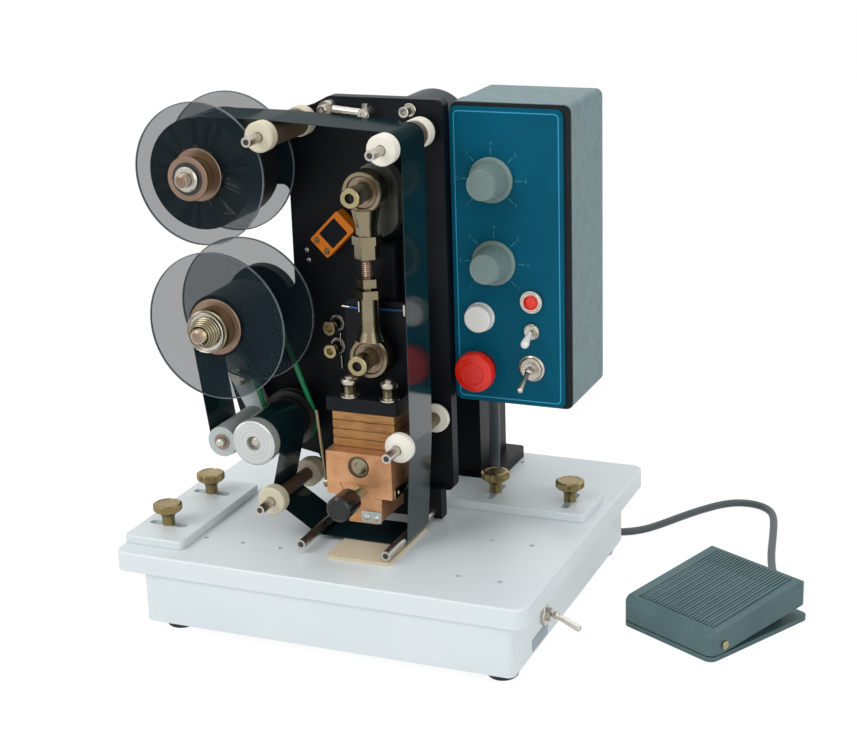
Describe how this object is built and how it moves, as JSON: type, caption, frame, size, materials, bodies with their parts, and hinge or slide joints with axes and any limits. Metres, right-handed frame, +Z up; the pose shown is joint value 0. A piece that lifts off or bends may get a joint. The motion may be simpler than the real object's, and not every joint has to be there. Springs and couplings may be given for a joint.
{
  "type": "date coding machine",
  "caption": "Bench-top ribbon hot-stamp date coder: white base, black upright with two clear reels, film path, crank-driven heated print head, control box and foot switch on a cord.",
  "frame": {"origin": "on the standing surface, under the middle of the box that holds the machine and its foot switch", "axes": "+X to the operator's right, +Y from the front to the back, +Z up"},
  "size_m": [0.46, 0.3642, 0.3696],
  "materials": {
    "aluminium": "turned and knurled",
    "belt_green": "round belt",
    "black_enamel": "satin black paint",
    "blue_panel": "satin film",
    "brass": "turned and knurled",
    "chrome": "plated",
    "clear_disc": "clear smoked acrylic",
    "copper_block": "milled",
    "cord_pvc": "pvc sleeve",
    "film": "coated film",
    "grey_enamel": "hammered grey paint",
    "knob_grey": "moulded",
    "laminate": "layered resin board",
    "motor_paint": "dark green paint",
    "nylon": "moulded",
    "orange_plastic": "moulded",
    "pedal_paint": "grey-green cast finish",
    "red_plastic": "moulded",
    "ribbon_black": "coated film",
    "rubber_black": "moulded",
    "silicone": "moulded pad",
    "steel": "turned",
    "white_enamel": "gloss powder coat",
    "white_plastic": "moulded"
  },
  "bodies": {
    "frame": {"anvil_pad": "silicone", "base_box": "white_enamel", "base_plate": "white_enamel", "column": "black_enamel", "control_box": "grey_enamel", "control_lead": "cord_pvc", "control_panel": "blue_panel", "cord_coil": "cord_pvc", "cord_far": "cord_pvc", "cord_gland": "rubber_black", "cord_near": "cord_pvc", "drive_belt": "belt_green", "feet": "rubber_black", "foil_return": "film", "foil_web": "film", "head_guide": "black_enamel", "main_plate": "black_enamel", "motor": "motor_paint", "panel_fittings": "white_plastic", "pedal_base": "pedal_paint", "pedal_gland": "rubber_black", "pedal_pins": "brass", "position_sensor": "orange_plastic", "spindles": "steel", "switch_collars": "chrome", "thumb_screws": "brass", "tie_rod": "chrome"},
    "left_guide": {"left_guide_plate": "white_enamel"},
    "rear_guide": {"rear_guide_plate": "white_enamel"},
    "supply_reel": {"supply_discs": "clear_disc", "supply_roll": "ribbon_black", "supply_cap": "steel"},
    "takeup_reel": {"takeup_discs": "clear_disc", "takeup_core": "ribbon_black", "takeup_cap": "steel"},
    "feed_unit": {"feed_roller": "ribbon_black", "feed_pulley": "aluminium", "feed_knob": "aluminium"},
    "takeup_drive": {"takeup_pulley": "aluminium"},
    "pinch_lever": {"pinch_arm": "aluminium"},
    "pinch_wheel": {"pinch_roller": "aluminium"},
    "roller_upper_left": {"guide_roller_upper_left": "nylon"},
    "roller_upper_right": {"guide_roller_upper_right": "nylon"},
    "roller_lower_right": {"guide_roller_lower_right": "nylon"},
    "roller_lower_left": {"guide_roller_lower_left": "nylon"},
    "crank_body": {"crank": "steel"},
    "link": {"connecting_rod": "steel"},
    "print_head": {"head_carriage": "black_enamel", "insulation_block": "laminate", "heater_block": "copper_block", "levelling_screws": "brass"},
    "type_slide": {"type_holder": "brass", "type_handle": "rubber_black"},
    "knob_temperature": {"temperature_knob": "knob_grey"},
    "knob_speed": {"speed_knob": "knob_grey"},
    "stop_head": {"stop_button": "red_plastic"},
    "lever_power": {"power_toggle": "chrome"},
    "lever_mode": {"mode_toggle": "white_plastic"},
    "lever_side": {"side_toggle": "chrome"},
    "treadle": {"pedal_cover": "pedal_paint"}
  },
  "joints": [
    {"name": "left_guide_slide", "type": "slide", "parent": "frame", "child": "left_guide", "axis": [1, 0, 0], "range_m": [-0.008, 0.008]},
    {"name": "rear_guide_slide", "type": "slide", "parent": "frame", "child": "rear_guide", "axis": [0, 1, 0], "range_m": [-0.011, 0]},
    {"name": "supply_reel_spin", "type": "hinge", "parent": "frame", "child": "supply_reel", "pos_m": [-0.17597, -0.0485, 0.3196], "axis": [0, 1, 0], "continuous": true},
    {"name": "takeup_reel_spin", "type": "hinge", "parent": "frame", "child": "takeup_reel", "pos_m": [-0.17047, -0.0485, 0.2112], "axis": [0, 1, 0], "continuous": true},
    {"name": "feed_turn", "type": "hinge", "parent": "frame", "child": "feed_unit", "pos_m": [-0.14217, -0.0485, 0.1297], "axis": [0, 1, 0], "continuous": true},
    {"name": "takeup_pulley_turn", "type": "hinge", "parent": "frame", "child": "takeup_drive", "pos_m": [-0.17047, -0.0485, 0.2112], "axis": [0, 1, 0], "continuous": true},
    {"name": "pinch_lever_swing", "type": "hinge", "parent": "frame", "child": "pinch_lever", "pos_m": [-0.18497, -0.0135, 0.155], "axis": [0, 1, 0], "range_deg": [0, 12], "stiffness_Nm_per_rad": 0.5, "springref_deg": -17.19, "deforming": ["foil_return"]},
    {"name": "pinch_wheel_spin", "type": "hinge", "parent": "pinch_lever", "child": "pinch_wheel", "pos_m": [-0.17037, -0.0485, 0.126], "axis": [0, 1, 0], "continuous": true},
    {"name": "roller_upper_left_spin", "type": "hinge", "parent": "frame", "child": "roller_upper_left", "pos_m": [-0.12297, -0.0485, 0.3493], "axis": [0, 1, 0], "continuous": true},
    {"name": "roller_upper_right_spin", "type": "hinge", "parent": "frame", "child": "roller_upper_right", "pos_m": [-0.03397, -0.0485, 0.3445], "axis": [0, 1, 0], "continuous": true},
    {"name": "roller_lower_right_spin", "type": "hinge", "parent": "frame", "child": "roller_lower_right", "pos_m": [-0.03097, -0.0485, 0.1375], "axis": [0, 1, 0], "continuous": true},
    {"name": "roller_lower_left_spin", "type": "hinge", "parent": "frame", "child": "roller_lower_left", "pos_m": [-0.13027, -0.0485, 0.0874], "axis": [0, 1, 0], "continuous": true},
    {"name": "crank_turn", "type": "hinge", "parent": "frame", "child": "crank_body", "pos_m": [-0.06337, -0.0205, 0.302], "axis": [0, 1, 0], "range_deg": [0, 180]},
    {"name": "link_swing", "type": "hinge", "parent": "crank_body", "child": "link", "pos_m": [-0.06337, -0.0465, 0.3085], "axis": [0, 1, 0], "range_deg": [-180, 0]},
    {"name": "head_slide", "type": "slide", "parent": "frame", "child": "print_head", "axis": [0, 0, 1], "range_m": [-0.013, 0]},
    {"name": "type_slide_out", "type": "slide", "parent": "print_head", "child": "type_slide", "axis": [0, -1, 0], "range_m": [0, 0.03]},
    {"name": "temperature_turn", "type": "hinge", "parent": "frame", "child": "knob_temperature", "pos_m": [0.01003, -0.0085, 0.31], "axis": [0, -1, 0], "range_deg": [-270, 0]},
    {"name": "speed_turn", "type": "hinge", "parent": "frame", "child": "knob_speed", "pos_m": [0.01103, -0.0085, 0.2515], "axis": [0, -1, 0], "range_deg": [-270, 0]},
    {"name": "stop_press", "type": "slide", "parent": "frame", "child": "stop_head", "axis": [0, 1, 0], "range_m": [0, 0.005], "stiffness_N_per_m": 400, "springref_m": -0.002},
    {"name": "power_flip", "type": "hinge", "parent": "frame", "child": "lever_power", "pos_m": [0.03803, -0.00733, 0.177], "axis": [1, 0, 0], "range_deg": [-50, 0]},
    {"name": "mode_flip", "type": "hinge", "parent": "frame", "child": "lever_mode", "pos_m": [0.03853, -0.00475, 0.204], "axis": [1, 0, 0], "range_deg": [-50, 0]},
    {"name": "side_flip", "type": "hinge", "parent": "frame", "child": "lever_side", "pos_m": [0.08003, -0.0745, 0.027], "axis": [0, 1, 0], "range_deg": [-50, 0]},
    {"name": "pedal_press", "type": "hinge", "parent": "frame", "child": "treadle", "pos_m": [0.15322, -0.02774, 0.01], "axis": [0.8829, -0.4695, 0], "range_deg": [-4, 0], "stiffness_Nm_per_rad": 8, "springref_deg": 2.86}
  ],
  "couplings": [
    {"joint": "takeup_pulley_turn", "follows": "feed_turn", "ratio": 1.1143},
    {"joint": "link_swing", "follows": "head_slide", "rad_per_m": 241.66},
    {"joint": "crank_turn", "follows": "head_slide", "rad_per_m": -241.66}
  ]
}
